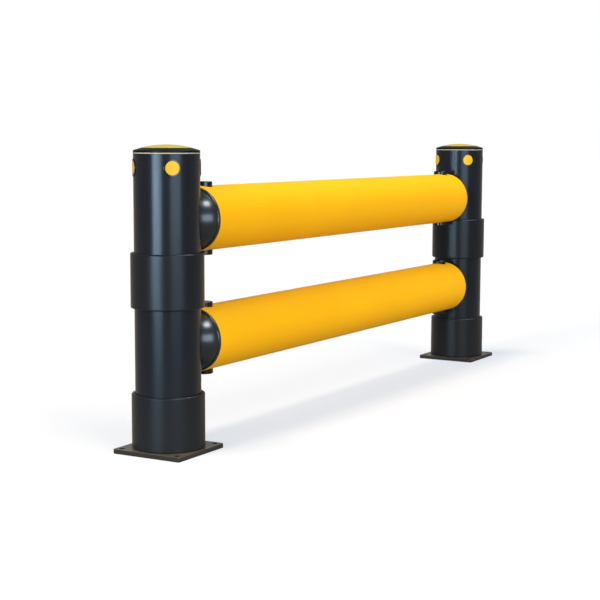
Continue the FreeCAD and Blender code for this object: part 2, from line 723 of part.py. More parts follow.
def reflector(name, x, turn):
    body = new_body(name, x, "places.reflector_height", turn)
    sketch = sketch_on(body, name + "_body_sketch", "YZ_Plane", height="places.post_bore")
    circle(sketch, "0", "0", "places.reflector_radius")
    raised(body, name + "_body", sketch, "2 * sizes.post_wall")
    cut_to_post(body, name + "_seat", "places.lens_seat", "places.post_radius * 2")
    rim = sketch_on(body, name + "_rim_sketch", "YZ_Plane", height="places.post_bore")
    circle(rim, "0", "0", "places.reflector_radius")
    circle(rim, "0", "0", "places.lens_hole")
    raised(body, name + "_rim", rim, "2 * sizes.post_wall")
    cut_to_post(body, name + "_front", "places.reflector_face", "places.post_radius * 2")
    cut_to_post(body, name + "_back", "0", "places.reflector_seat")
    stem = sketch_on(body, name + "_stem_sketch", "YZ_Plane", height="places.stem_tip")
    circle(stem, "0", "0", "places.stem_radius")
    raised(body, name + "_stem", stem, "places.reflector_seat - places.stem_tip")
    return body


def lens(name, x, turn):
    body = new_body(name, x, "places.reflector_height", turn)
    sketch = sketch_on(body, name + "_sketch", "YZ_Plane", height="places.post_bore")
    circle(sketch, "0", "0", "places.lens_radius")
    raised(body, name + "_disc", sketch, "2 * sizes.post_wall")
    cut_to_post(body, name + "_back", "0", "places.lens_seat")
    cut_to_post(body, name + "_front", "places.lens_face", "places.post_radius * 2")
    return body


# Assembly


def build_post_side(side, x, turn):
    """Makes everything of one post but its couplers; turn points the rails' side along X."""
    made = [
        base_plate(side + "_base_plate", x),
        post(side + "_post", x, turn),
        socket_screws(side + "_socket_screws", x),
        collar(side + "_lower_collar", x, "sizes.plate_thickness"),
        collar(side + "_middle_collar", x, "places.middle_collar_bottom"),
        seal_ring(side + "_seal_ring", x),
        cap(side + "_cap", x),
        cap_disc(side + "_cap_disc", x),
    ]
    corners = ("inner_back", "outer_back", "outer_front", "inner_front")
    if turn:
        corners = ("outer_back", "inner_back", "inner_front", "outer_front")
    for number, corner in enumerate(corners):
        angle = QUARTER_TURN * (number + 0.5)
        made.append(reflector("%s_%s_reflector" % (side, corner), x, angle))
        made.append(lens("%s_%s_lens" % (side, corner), x, angle))
    return made


def build_rail_end(side, level, x, turn):
    """Makes what joins one end of a rail to its post."""
    name = "%s_%s" % (side, level)
    height = "places.%s_rail" % level
    sign = "-" if turn else "+"
    pin_x = "%s %s places.pin_place" % (x, sign)
    dowel_x = "%s %s places.dowel_place" % (x, sign)
    return [
        coupler(name + "_coupler", x, height, turn),
        pin(name + "_pin", pin_x, height),
        pin_cap(name + "_pin_cap", pin_x, height),
        dowel(name + "_dowel", dowel_x, height),
    ]


nodes = [rail(level + "_rail", "places.%s_rail" % level) for level in ("upper", "lower")]
for side, x, turn in (("left", "-sizes.post_spacing / 2", 0), ("right", "sizes.post_spacing / 2", 180)):
    nodes += build_post_side(side, x, turn)
    for level in ("upper", "lower"):
        nodes += build_rail_end(side, level, x, turn)

doc.recompute()

for item in doc.Objects:
    if "Invalid" in item.State or "Error" in item.State:
        raise RuntimeError("%s failed: %s" % (item.Label, item.State))
for node in nodes:
    if node.Shape.isNull() or not node.Shape.isValid():
        raise RuntimeError("%s has no valid shape" % node.Label)

os.makedirs("parts", exist_ok=True)
for node in nodes:
    node.Shape.exportStep("parts/%s.step" % node.Label)
print("wrote %d parts" % len(nodes))
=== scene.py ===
"""Looks of a flexible road barrier: finishes, finely made surfaces, studio and camera.

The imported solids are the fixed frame. Every length is in metres in the same frame: X runs along the
rails, Z is up, and the origin is on the floor midway between the two posts.
"""

import json
import logging
import math
from dataclasses import dataclass, fields
from enum import Enum
from typing import ClassVar, Optional, Sequence, Union

import bpy
import numpy as np
from mathutils import Matrix, Vector


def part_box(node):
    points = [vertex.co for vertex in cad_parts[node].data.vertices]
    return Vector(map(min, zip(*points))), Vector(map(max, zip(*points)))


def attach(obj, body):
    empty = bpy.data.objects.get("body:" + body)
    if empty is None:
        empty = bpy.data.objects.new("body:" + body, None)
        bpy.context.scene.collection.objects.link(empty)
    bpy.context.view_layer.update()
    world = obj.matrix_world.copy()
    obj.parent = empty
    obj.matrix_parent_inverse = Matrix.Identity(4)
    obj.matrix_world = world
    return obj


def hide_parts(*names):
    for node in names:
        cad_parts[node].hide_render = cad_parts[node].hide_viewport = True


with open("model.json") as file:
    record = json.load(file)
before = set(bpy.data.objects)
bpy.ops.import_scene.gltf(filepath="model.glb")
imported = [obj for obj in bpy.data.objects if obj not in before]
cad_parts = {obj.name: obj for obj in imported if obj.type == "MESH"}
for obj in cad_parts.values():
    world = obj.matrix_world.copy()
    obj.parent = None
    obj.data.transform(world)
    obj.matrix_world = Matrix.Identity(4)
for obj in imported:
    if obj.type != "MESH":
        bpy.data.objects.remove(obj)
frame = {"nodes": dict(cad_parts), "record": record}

LOG = logging.getLogger("barrier")
MM = 0.001
ROOT = "root"
IMAGE_SIDE_PX = 600
SENSOR_MM = 36.0
SHARP_DEG = 40.0
SAME_PLACE = 1e-8
CRISP = 0.2 * MM
ARC_GAP = 1 * MM
WHITE = (1.0, 1.0, 1.0)
SLOTS = {entry["node"]: entry["material_slot"] for entry in frame["record"]["subparts"]}

Colour = tuple[float, float, float]
Pair = tuple[float, float]


class Side(Enum):
    """The two ends of the barrier: left is the -X end."""

    LEFT = "left"
    RIGHT = "right"


class Level(Enum):
    """The two rails."""

    UPPER = "upper"
    LOWER = "lower"


class Corner(Enum):
    """The four places of the reflectors round a post."""

    OUTER_FRONT = "outer_front"
    OUTER_BACK = "outer_back"
    INNER_FRONT = "inner_front"
    INNER_BACK = "inner_back"


class Grain(Enum):
    """The direction in which a surface was drawn or moulded, as a stretch of its pattern."""

    ALONG_X = (0.012, 1.0, 1.0)
    ALONG_Z = (1.0, 1.0, 0.012)
    NONE = (1.0, 1.0, 1.0)


# Shader maths


class Socket:
    """A shader socket that Python's operators can reckon with."""

    def __init__(self, shader: "Shader", socket: bpy.types.NodeSocket) -> None:
        """Wraps a socket.

        Args:
            shader: the material that the socket is in.
            socket: the output to wrap.
        """
        self.shader = shader
        self.socket = socket

    def _math(self, operation: str, first: "Value", second: "Value") -> "Socket":
        """Adds a Math node.

        Args:
            operation: the Math node's operation.
            first: its first value.
            second: its second value.

        Returns:
            The result.
        """
        return self.shader.node("ShaderNodeMath", {"operation": operation}, {0: first, 1: second})

    def __add__(self, other: "Value") -> "Socket":
        """Sum."""
        return self._math("ADD", self, other)

    def __radd__(self, other: "Value") -> "Socket":
        """Sum with a number first."""
        return self._math("ADD", other, self)

    def __sub__(self, other: "Value") -> "Socket":
        """Difference."""
        return self._math("SUBTRACT", self, other)

    def __rsub__(self, other: "Value") -> "Socket":
        """Difference with a number first."""
        return self._math("SUBTRACT", other, self)

    def __mul__(self, other: "Value") -> "Socket":
        """Product."""
        return self._math("MULTIPLY", self, other)

    def __rmul__(self, other: "Value") -> "Socket":
        """Product with a number first."""
        return self._math("MULTIPLY", other, self)

    def __abs__(self) -> "Socket":
        """Size without its sign."""
        return self._math("ABSOLUTE", self, 0.0)

    def least(self, other: "Value") -> "Socket":
        """The smaller of two."""
        return self._math("MINIMUM", self, other)

    def most(self, other: "Value") -> "Socket":
        """The larger of two."""
        return self._math("MAXIMUM", self, other)

    def part(self) -> "Socket":
        """What is left above the whole number below."""
        return self._math("FRACT", self, 0.0)


Value = Union[Socket, float, Sequence[float]]


@dataclass(frozen=True)
class Pattern:
    """What a noise looks like.

    Attributes:
        per_metre: cells in a metre.
        octaves: how many finer noises lie over it.
        fineness: weight of each finer noise.
    """

    per_metre: float
    octaves: float = 2.0
    fineness: float = 0.5


class Shader:
    """The nodes of a material or of the surroundings."""

    def __init__(self, name: str, owner: Optional[bpy.types.World] = None) -> None:
        """Starts with no nodes.

        Args:
            name: the name of the material.
            owner: the surroundings, where the nodes are theirs.
        """
        self.material = owner or bpy.data.materials.new(name)
        self.material.use_nodes = True
        self.tree = self.material.node_tree
        self.tree.nodes.clear()

    def node(self, kind: str, settings: Optional[dict] = None, inputs: Optional[dict] = None,
             output: Union[int, str] = 0) -> Socket:
        """Adds a node, sets it up and feeds it.

        Args:
            kind: the node's type.
            settings: what to set on the node before its sockets are read.
            inputs: a value or a link for each socket, by name or number.
            output: the output that is wanted, by name or number.

        Returns:
            The wanted output.
        """
        made = self.tree.nodes.new(kind)
        for name, value in (settings or {}).items():
            setattr(made, name, value)
        for name, value in (inputs or {}).items():
            self._feed(made.inputs[name], value)
        return Socket(self, made.outputs[output] if len(made.outputs) else None)

    def _feed(self, target: bpy.types.NodeSocket, value: Value) -> None:
        """Links or sets one input.

        Args:
            target: the input.
            value: a socket to link or a value to set.
        """
        if isinstance(value, Socket):
            self.tree.links.new(value.socket, target)
        elif target.type == "RGBA" and len(value) == 3:
            target.default_value = (*value, 1.0)
        else:
            target.default_value = value

    def place(self, stretch: Sequence[float] = (1.0, 1.0, 1.0)) -> Socket:
        """Object coordinates, stretched.

        Args:
            stretch: the factor on each axis.

        Returns:
            The coordinates.
        """
        here = self.node("ShaderNodeTexCoord", output="Object")
        return self.node("ShaderNodeMapping", {"vector_type": "POINT"},
                         {"Vector": here, "Scale": stretch})

    def axes(self, where: Socket) -> tuple[Socket, Socket, Socket]:
        """The three numbers of a place or direction.

        Args:
            where: the place or direction.

        Returns:
            Its X, Y and Z.
        """
        return tuple(self.node("ShaderNodeSeparateXYZ", None, {0: where}, output=axis)
                     for axis in "XYZ")

    def noise(self, where: Socket, pattern: Pattern) -> Socket:
        """Noise from 0 to 1.

        Args:
            where: the coordinates.
            pattern: the noise's cells and octaves.

        Returns:
            The noise.
        """
        return self.node("ShaderNodeTexNoise", {"noise_dimensions": "3D"},
                         {"Vector": where, "Scale": pattern.per_metre,
                          "Detail": pattern.octaves, "Roughness": pattern.fineness}, output=0)

    @staticmethod
    def swing(noise: Socket, reach: float) -> Socket:
        """Turns a noise from 0 to 1 into a swing about 0.

        Args:
            noise: the noise.
            reach: the swing from end to end.

        Returns:
            The swing.
        """
        return reach * (noise - 0.5)

    def rise(self, value: Socket, low: float, high: float) -> Socket:
        """A smooth step from 0 at low to 1 at high.

        Args:
            value: what is compared.
            low: where the step starts.
            high: where it ends.

        Returns:
            The step.
        """
        return self.node("ShaderNodeMapRange", {"interpolation_type": "SMOOTHSTEP"},
                         {"Value": value, "From Min": low, "From Max": high})

    def mix(self, share: Value, first: Value, second: Value) -> Socket:
        """Mixes two colours.

        Args:
            share: the second colour's share.
            first: the colour at share 0.
            second: the colour at share 1.

        Returns:
            The mixed colour.
        """
        return self.node("ShaderNodeMix", {"data_type": "RGBA"}, {0: share, 6: first, 7: second},
                         output=2)

    def seen(self, in_gloss: float) -> Socket:
        """1 for what the camera sees directly or through a clear piece.

        Args:
            in_gloss: the mask's value for what shows in a reflection.

        Returns:
            The mask.
        """
        camera, glossy, clear = (self.node("ShaderNodeLightPath", output=f"Is {kind} Ray")
                                 for kind in ("Camera", "Glossy", "Transmission"))
        return camera + clear + in_gloss * glossy

    def bump(self, height: Socket, depth: float, below: Optional[Socket] = None) -> Socket:
        """Tilts the normal by a height.

        Args:
            height: the height pattern, from 0 to 1.
            depth: the pattern's depth in metres.
            below: a bump that this one goes on.

        Returns:
            The normal.
        """
        inputs: dict = {"Height": height, "Distance": depth, "Strength": 1.0}
        if below is not None:
            inputs["Normal"] = below
        return self.node("ShaderNodeBump", None, inputs)

    def finish(self, **inputs: Value) -> bpy.types.Material:
        """Ends the material in a Principled shader.

        Args:
            **inputs: the shader's sockets, with underscores for blanks.

        Returns:
            The material.
        """
        named = {name.replace("_", " "): value for name, value in inputs.items()}
        surface = self.node("ShaderNodeBsdfPrincipled", None, named)
        self.node("ShaderNodeOutputMaterial", None, {"Surface": surface})
        return self.material


# Finishes


@dataclass(frozen=True)
class Finish:
    """What all finishes share.

    Attributes:
        slot: the record's material slot.
        colour: the clean surface's linear colour.
        roughness: the clean surface's roughness.
    """

    slot: str
    colour: Colour
    roughness: float

    def material(self) -> bpy.types.Material:
        """Builds the finish's material."""
        raise NotImplementedError


@dataclass(frozen=True)
class Plastic(Finish):
    """Coloured plastic, drawn through a die or moulded.

    Attributes:
        grain: how the surface was made.
        streak_depth: depth of the die's fine lines, in metres.
        peel_depth: depth of the fine orange peel, in metres.
        specular: specular level.
        dust: share of pale dust near the floor.
        sheen: tint of the gloss.
        tint: colour that the surface drifts to in large soft clouds.
        shade: the tint's share of the colour, where no tint is given.
        clouds: the soft clouds.
        drift: cloud values between which the colour drifts to the tint.
        streaks: the die's fine lines.
        peel: the orange peel.
        marks: where handling marks can be.
        marked: values between which a mark sets in.
        dust_colour: colour of the dust.
        dust_top: height up to which it lies, in metres.
        gloss: how far the roughness swings with clouds and streaks, and what a mark adds.
    """

    grain: Grain = Grain.NONE
    streak_depth: float = 0.00003
    peel_depth: float = 0.00001
    specular: float = 0.5
    dust: float = 0.0
    sheen: Colour = WHITE
    tint: Optional[Colour] = None
    shade: float = 0.86
    clouds: Pattern = Pattern(3.5, 3.0)
    drift: Pair = (0.35, 0.7)
    streaks: Pattern = Pattern(210.0, 3.0, 0.6)
    peel: Pattern = Pattern(900.0, 1.0)
    marks: Pattern = Pattern(38.0, 4.0, 0.62)
    marked: Pair = (0.6, 0.78)
    dust_colour: Colour = (0.42, 0.4, 0.36)
    dust_top: float = 0.35
    gloss: tuple[float, float, float] = (0.05, 0.06, 0.07)

    def material(self) -> bpy.types.Material:
        """Builds the plastic.

        Returns:
            A material whose colour drifts in soft clouds, whose gloss is broken by fine lines along
            the grain and a few handling marks, and which has pale dust near the floor.
        """
        shader = Shader(self.slot)
        plain = shader.place()
        drawn = shader.place(self.grain.value)
        clouds = shader.noise(plain, self.clouds)
        streaks = shader.noise(drawn, self.streaks)
        peel = shader.noise(plain, self.peel)
        marks = shader.rise(shader.noise(drawn, self.marks), *self.marked)
        tint = self.tint or tuple(channel * self.shade for channel in self.colour)
        colour = shader.mix(shader.rise(clouds, *self.drift), self.colour, tint)
        if self.dust:
            low = 1.0 - shader.rise(shader.axes(plain)[2], 0.0, self.dust_top)
            colour = shader.mix(low * clouds * self.dust, colour, self.dust_colour)
        cloudy, streaky, marked = self.gloss
        gloss = (self.roughness + shader.swing(clouds, cloudy) + shader.swing(streaks, streaky)
                 + marked * marks)
        normal = shader.bump(streaks, self.streak_depth)
        normal = shader.bump(peel, self.peel_depth, normal)
        return shader.finish(Base_Color=colour, Roughness=gloss, Normal=normal,
                             Specular_IOR_Level=self.specular, Specular_Tint=(*self.sheen, 1.0))


@dataclass(frozen=True)
class CoatedSteel(Finish):
    """Dark coated steel plate with dust and a painted warm sheen on top, rubbed along its edges.

    Attributes:
        dust_and_sheen: colour of the film of dust on what looks up, lightened and warmed as a painted
            reflection.
        rubbed: colour of the bare steel where the coat is rubbed off.
        specular: specular level.
        sheen: tint of the gloss.
        clouds: the coat's clouds.
        pits: the small pits.
        pit_depth: their depth, in metres.
        scuffs: where the edge can be rubbed.
        scuffed: values between which a scuff sets in.
        band: how far inside the outline the rubbed band begins and is full.
        level: upward parts of the normal between which the dust and the painted sheen set in.
        upward: upward parts of the normal between which rubbing sets in.
        dust_and_sheen_share: the share of the dust and painted sheen without clouds, and what the
            clouds add.
        scuff_share: the bare steel's share of a scuff's colour.
        scuff_metal: how metallic a scuff is.
        gloss: how far the roughness swings with clouds and pits.
    """

    # Painted reflection: this top colour is dust made lighter and warmer to stand in for a warm
    # reflection.
    dust_and_sheen: Colour = (0.098, 0.072, 0.046)
    rubbed: Colour = (0.16, 0.15, 0.13)
    specular: float = 0.5
    sheen: Colour = (1.0, 0.87, 0.7)
    clouds: Pattern = Pattern(14.0, 4.0, 0.6)
    pits: Pattern = Pattern(520.0)
    pit_depth: float = 0.00002
    scuffs: Pattern = Pattern(95.0, 5.0, 0.65)
    scuffed: Pair = (0.45, 0.7)
    band: Pair = (2.5 * MM, 0.4 * MM)
    level: Pair = (0.5, 0.95)
    upward: Pair = (0.1, 0.6)
    dust_and_sheen_share: Pair = (0.55, 0.6)
    scuff_share: float = 0.6
    scuff_metal: float = 0.5
    gloss: Pair = (0.16, 0.08)

    def material(self) -> bpy.types.Material:
        """Builds the coated steel.

        The distance from a plate's middle is the larger of the distances along X and Y, so the
        rubbed band follows the square outline of both plates.

        Returns:
            A dark material with cloudy gloss, small pits, dust with a painted warm sheen on top, and
            rubbed edges.
        """
        shader = Shader(self.slot)
        plain = shader.place()
        low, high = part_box("right_base_plate")
        clouds = shader.noise(plain, self.clouds)
        pits = shader.noise(plain, self.pits)
        scuffs = shader.rise(shader.noise(plain, self.scuffs), *self.scuffed)
        along, across, _ = shader.axes(plain)
        out = abs(abs(along) - (low[0] + high[0]) / 2).most(abs(across))
        edge = shader.rise(out, *(high[1] - inside for inside in self.band))
        facing = shader.axes(shader.node("ShaderNodeNewGeometry", output="Normal"))[2]
        top = shader.rise(facing, *self.level)
        edge = edge * scuffs * shader.rise(facing, *self.upward)
        # Painted reflection: the upward faces get a dust colour lighter and warmer than dust alone, in
        # place of a warm reflection.
        least, more = self.dust_and_sheen_share
        colour = shader.mix(top * (least + more * clouds), self.colour, self.dust_and_sheen)
        colour = shader.mix(edge * self.scuff_share, colour, self.rubbed)
        cloudy, pitted = self.gloss
        gloss = self.roughness + shader.swing(clouds, cloudy) + shader.swing(pits, pitted)
        normal = shader.bump(pits, self.pit_depth)
        return shader.finish(Base_Color=colour, Roughness=gloss, Normal=normal,
                             Metallic=edge * self.scuff_metal, Specular_IOR_Level=self.specular,
                             Specular_Tint=(*self.sheen, 1.0))


@dataclass(frozen=True)
class BrightSteel(Finish):
    """Plain machined steel.

    Attributes:
        lines: the turning lines.
        stretch: their stretch on each axis.
        line_depth: their depth, in metres.
        gloss: how far the roughness swings with them.
    """

    lines: Pattern = Pattern(700.0)
    stretch: tuple[float, float, float] = (1.0, 1.0, 0.05)
    line_depth: float = 0.00001
    gloss: float = 0.12

    def material(self) -> bpy.types.Material:
        """Builds the steel.

        Returns:
            A metallic material with fine turning lines.
        """
        shader = Shader(self.slot)
        lines = shader.noise(shader.place(self.stretch), self.lines)
        normal = shader.bump(lines, self.line_depth)
        return shader.finish(Base_Color=self.colour, Metallic=1.0, Normal=normal,
                             Roughness=self.roughness + shader.swing(lines, self.gloss))


@dataclass(frozen=True)
class ReflectorLens(Finish):
    """Clear yellow lens with a smooth face over moulded three-sided prisms.

    Attributes:
        prisms: rows of prisms across the lens's chart.
        prism_depth: depth of the prisms, in metres.
        specular: specular level.
        coat: weight of the smooth clear face.
        coat_roughness: roughness of that face.
        turns: headings of the three sets of lines, in degrees.
        ridge: heights between which a prism takes the deep colour.
        deep: the deep colour's share of the clean one.
        cells: small unevenness from prism to prism.
        deep_share: the deep colour's share without cells, and what the cells add.
        gloss: what the cells add to the roughness.
    """

    prisms: float = 17.0
    prism_depth: float = 0.0005
    specular: float = 0.12
    coat: float = 0.1
    coat_roughness: float = 0.06
    turns: tuple[float, float, float] = (90.0, 210.0, 330.0)
    ridge: Pair = (0.0, 0.09)
    deep: float = 0.78
    cells: Pattern = Pattern(260.0, 1.0)
    deep_share: Pair = (0.7, 0.3)
    gloss: float = 0.06

    def material(self) -> bpy.types.Material:
        """Builds the lens.

        Three sets of parallel lines, a third of a turn apart, divide the chart into triangles.
        A prism's height is the distance to the nearest line: of each set's place between two
        lines, the smaller of the place and of one less the place, and the least of the three.

        Returns:
            A yellow whose prisms tilt the light below a smooth clear face.
        """
        shader = Shader(self.slot)
        across, up, _ = shader.axes(shader.node("ShaderNodeTexCoord", output="UV"))
        height: Optional[Socket] = None
        for turn in self.turns:
            angle = math.radians(turn)
            lines = (across * math.cos(angle) + up * math.sin(angle)) * self.prisms
            rise = lines.part().least(1.0 - lines.part())
            height = rise if height is None else height.least(rise)
        cells = shader.noise(shader.place(), self.cells)
        deep = tuple(channel * self.deep for channel in self.colour)
        ridge = shader.rise(height, *self.ridge)
        least, more = self.deep_share
        colour = shader.mix(ridge * (least + more * cells), self.colour, deep)
        return shader.finish(Base_Color=colour, Roughness=self.roughness + self.gloss * cells,
                             Normal=shader.bump(height, self.prism_depth),
                             Coat_Weight=self.coat, Coat_Roughness=self.coat_roughness,
                             Specular_IOR_Level=self.specular)


@dataclass(frozen=True)
class Finishes:
    """Every finish of the barrier."""

    post: Finish = Plastic("post_black", (0.0082, 0.0107, 0.0152), 0.245, Grain.ALONG_Z,
                           streak_depth=0.000012, specular=0.15, dust=0.02, sheen=(0.8, 0.92, 1.0))
    collar: Finish = Plastic("collar_black", (0.0085, 0.0105, 0.0135), 0.29, Grain.ALONG_Z,
                             streak_depth=0.000015, specular=0.15, dust=0.02, sheen=(0.8, 0.92, 1.0))
    coupler: Finish = Plastic("coupler_black", (0.0112, 0.015, 0.02), 0.24, Grain.NONE,
                              streak_depth=0.00001, specular=0.38, sheen=(0.9, 0.96, 1.0))
    cap: Finish = Plastic("cap_black", (0.006, 0.0055, 0.005), 0.4, Grain.NONE, specular=0.07)
    moulded: Finish = Plastic("black_plastic", (0.003, 0.0028, 0.0028), 0.2, Grain.NONE,
                              streak_depth=0.00001, specular=0.28)
    rail: Finish = Plastic("yellow_tube", (0.85, 0.438, 0.0078), 0.46, Grain.ALONG_X,
                           specular=0.02, tint=(0.83, 0.418, 0.007))
    inlay: Finish = Plastic("yellow_inlay", (0.45, 0.35, 0.037), 0.42, Grain.NONE,
                            specular=0.1, tint=(0.425, 0.33, 0.034))
    seal: Finish = Plastic("pale_seal", (0.46, 0.43, 0.33), 0.6, Grain.NONE, specular=0.1)
    lens: Finish = ReflectorLens("reflector_yellow", (0.69, 0.43, 0.01), 0.3)
    plate: Finish = CoatedSteel("galvanised_steel", (0.012, 0.014, 0.016), 0.3)
    screw: Finish = BrightSteel("screw_steel", (0.5, 0.5, 0.5), 0.35)
    dowel: Finish = BrightSteel("dowel_steel", (0.55, 0.55, 0.55), 0.3)

    def by_slot(self) -> dict[str, bpy.types.Material]:
        """Builds every material.

        Returns:
            The material of each slot, and the caps' own under its name.
        """
        finishes = (getattr(self, field.name) for field in fields(self))
        return {finish.slot: finish.material() for finish in finishes}


# Studio


def heading(azimuth: float, elevation: float) -> Vector:
    """The unit vector towards a place in the sky.

    Args:
        azimuth: turn from +X towards +Y, in degrees.
        elevation: height above the horizon, in degrees.

    Returns:
        The vector.
    """
    turn, lift = math.radians(azimuth), math.radians(elevation)
    return Vector((math.cos(turn) * math.cos(lift), math.sin(turn) * math.cos(lift),
                   math.sin(lift)))


def post_foot(side: Side) -> Vector:
    """The place where a post's axis meets the floor.

    Args:
        side: the post's end of the barrier.

    Returns:
        The place.
    """
    low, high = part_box(f"{side.value}_post")
    return Vector(((low[0] + high[0]) / 2, (low[1] + high[1]) / 2, 0.0))


def placed(name: str, data: bpy.types.ID) -> bpy.types.Object:
    """Makes an object and links it to the scene.

    Args:
        name: its name.
        data: its mesh, lamp or camera.

    Returns:
        The object.
    """
    made = bpy.data.objects.new(name, data)
    bpy.context.scene.collection.objects.link(made)
    return made


@dataclass(frozen=True)
class Lamp:
    """A lamp that looks at the left post's foot.

    Attributes:
        name: the lamp's name.
        azimuth: its turn from +X towards +Y, in degrees, seen from that foot.
        elevation: its height above the horizon from there, in degrees.
        distance: how far from there it stands.
        HIDDEN: the kinds of ray that don't meet it.
    """

    HIDDEN: ClassVar[tuple[str, ...]] = ("camera",)

    name: str
    azimuth: float
    elevation: float
    distance: float = 20.0

    def build(self) -> None:
        """Makes the lamp and turns it to that foot."""
        lamp = placed(self.name, self.data())
        way = heading(self.azimuth, self.elevation)
        lamp.location = post_foot(Side.LEFT) + way * self.distance
        lamp.rotation_euler = (-way).to_track_quat("-Z", "Y").to_euler()
        for kind in self.HIDDEN:
            setattr(lamp, f"visible_{kind}", False)

    def data(self) -> bpy.types.Light:
        """Makes the lamp's own data."""
        raise NotImplementedError


@dataclass(frozen=True)
class Daylight(Lamp):
    """A round soft lamp whose light is the same everywhere. Gloss doesn't show it.

    Attributes:
        level: what it adds to a white surface that faces it.
        width: its width as seen from the barrier, in degrees.
    """

    HIDDEN: ClassVar[tuple[str, ...]] = ("camera", "glossy")

    level: float = 0.5
    width: float = 12.0

    def data(self) -> bpy.types.Light:
        """Makes a sun lamp.

        Returns:
            The lamp's data.
        """
        data = bpy.data.lights.new(self.name, "SUN")
        data.angle = math.radians(self.width)
        data.energy = self.level * math.pi
        return data


@dataclass(frozen=True)
class Card(Lamp):
    """A bright flat shape that shows only in reflections and lights nothing else.

    Attributes:
        radiance: its brightness, where 1 is white.
        colour: its colour.
        width: its width as seen from the left post's foot, in degrees.
        height: its height as seen from there, in degrees.
        outline: RECTANGLE or ELLIPSE.
    """

    HIDDEN: ClassVar[tuple[str, ...]] = ("camera", "diffuse")

    radiance: float = 10.0
    colour: Colour = WHITE
    width: float = 20.0
    height: float = 20.0
    outline: str = "RECTANGLE"

    def data(self) -> bpy.types.Light:
        """Makes an area lamp whose power follows from its brightness and size.

        Returns:
            The lamp's data.
        """
        data = bpy.data.lights.new(self.name, "AREA")
        data.shape = self.outline
        data.color = self.colour
        data.size, data.size_y = (2 * self.distance * math.tan(math.radians(angle) / 2)
                                  for angle in (self.width, self.height))
        filled = math.pi / 4 if self.outline == "ELLIPSE" else 1.0
        data.energy = self.radiance * data.size * data.size_y * filled * math.pi
        return data


@dataclass
class Studio:
    """White floor and surroundings, soft lamps, and cards for the reflections.

    Attributes:
        floor_side: side of the square floor.
        floor_colour: the floor's own colour.
        floor_white: how bright the camera sees the open floor, where 1 is white.
        sky: what the surroundings give as light.
        in_gloss: how much of the lift to white shows in gloss.
        lamps: the lamps that light the barrier.
        cards: the cards that show in its gloss.
    """

    floor_side: float = 120.0
    floor_colour: Colour = (0.345, 0.3, 0.245)
    floor_white: float = 1.035
    sky: float = 0.35
    in_gloss: float = 0.05
    lamps: tuple[Daylight, ...] = (
        Daylight("back_lamp", 150.0, 73.0, level=0.56, width=13.5),
        Daylight("key_lamp", 256.0, 57.5, level=0.34, width=30.0),
        Daylight("front_lamp", 245.0, 9.0, level=0.6, width=18.0),
        Daylight("left_lamp", 172.5, 21.7, level=0.74, width=20.0),
    )
    cards: tuple[Card, ...] = (
        Card("left_card", 180.4, 4.2, distance=7.5, radiance=51.0, colour=(0.64, 0.84, 1.0),
             width=28.0, height=8.3),
        Card("front_card", 245.0, 11.0, distance=6.0, radiance=9.8, colour=(0.74, 0.88, 1.0),
             width=36.0, height=21.0),
        Card("key_card", 256.0, 53.5, radiance=33.0, width=20.0, height=16.5, outline="ELLIPSE"),
        Card("rim_card", 330.0, 56.0, radiance=26.0, width=20.0, height=16.0, outline="ELLIPSE"),
    )

    def build(self) -> None:
        """Makes the surroundings, the floor, the lamps and the cards."""
        self._surroundings()
        self._floor()
        for lamp in (*self.lamps, *self.cards):
            lamp.build()

    def _surroundings(self) -> None:
        """White where they are seen, and plain grey as light."""
        world = bpy.data.worlds.new("studio")
        world.use_nodes = True
        bpy.context.scene.world = world
        shader = Shader("studio", world)
        strength = self.sky + (1.0 - self.sky) * shader.seen(self.in_gloss)
        light = shader.node("ShaderNodeBackground", None,
                            {"Color": WHITE, "Strength": strength})
        shader.node("ShaderNodeOutputWorld", None, {"Surface": light})

    def _floor(self) -> None:
        """A wide pale floor that is lifted to white where it is seen and keeps the shadow.

        The lift is what the floor's own colour under the open light lacks to white.
        """
        half = self.floor_side / 2
        mesh = bpy.data.meshes.new("floor")
        mesh.from_pydata([(-half, -half, 0), (half, -half, 0), (half, half, 0), (-half, half, 0)],
                         [], [(0, 1, 2, 3)])
        floor = placed("floor", mesh)
        light = self.sky + sum(lamp.level * math.sin(math.radians(lamp.elevation))
                               for lamp in self.lamps)
        lift = tuple(self.floor_white - channel * light for channel in self.floor_colour)
        shader = Shader("floor")
        matt = shader.node("ShaderNodeBsdfDiffuse", None, {"Color": self.floor_colour})
        glow = shader.node("ShaderNodeEmission", None,
                           {"Color": lift, "Strength": shader.seen(self.in_gloss)})
        both = shader.node("ShaderNodeAddShader", None, {0: matt, 1: glow})
        shader.node("ShaderNodeOutputMaterial", None, {"Surface": both})
        mesh.materials.append(shader.material)


@dataclass
class PhotoCamera:
    """The camera at the photograph's place.

    Attributes:
        eye: its place.
        yaw: its turn from +Y towards +X, in degrees.
        pitch: its tilt up, in degrees.
        roll: its turn about its own line of sight, in degrees.
        focal_px: its focal length in pixels of the photograph.
    """

    eye: tuple[float, float, float] = (-4.5125, -2.4384, 0.9425)
    yaw: float = 60.01
    pitch: float = -6.53
    roll: float = 0.17
    focal_px: float = 1398.39

    def build(self) -> None:
        """Makes the camera and gives it to the scene."""
        yaw, pitch, roll = (math.radians(angle) for angle in (self.yaw, self.pitch, self.roll))
        forward = Vector((math.sin(yaw) * math.cos(pitch), math.cos(yaw) * math.cos(pitch),
                          math.sin(pitch)))
        level = Vector((math.cos(yaw), -math.sin(yaw), 0.0))
        upright = level.cross(forward)
        right = level * math.cos(roll) + upright * math.sin(roll)
        up = upright * math.cos(roll) - level * math.sin(roll)
        turn = Matrix((right, up, -forward)).transposed().to_4x4()
        data = bpy.data.cameras.new("photo_camera")
        data.sensor_width = SENSOR_MM
        data.lens = self.focal_px * SENSOR_MM / IMAGE_SIDE_PX
        camera = placed("photo_camera", data)
        camera.matrix_world = Matrix.Translation(self.eye) @ turn
        bpy.context.scene.camera = camera


# Surfaces on a grid


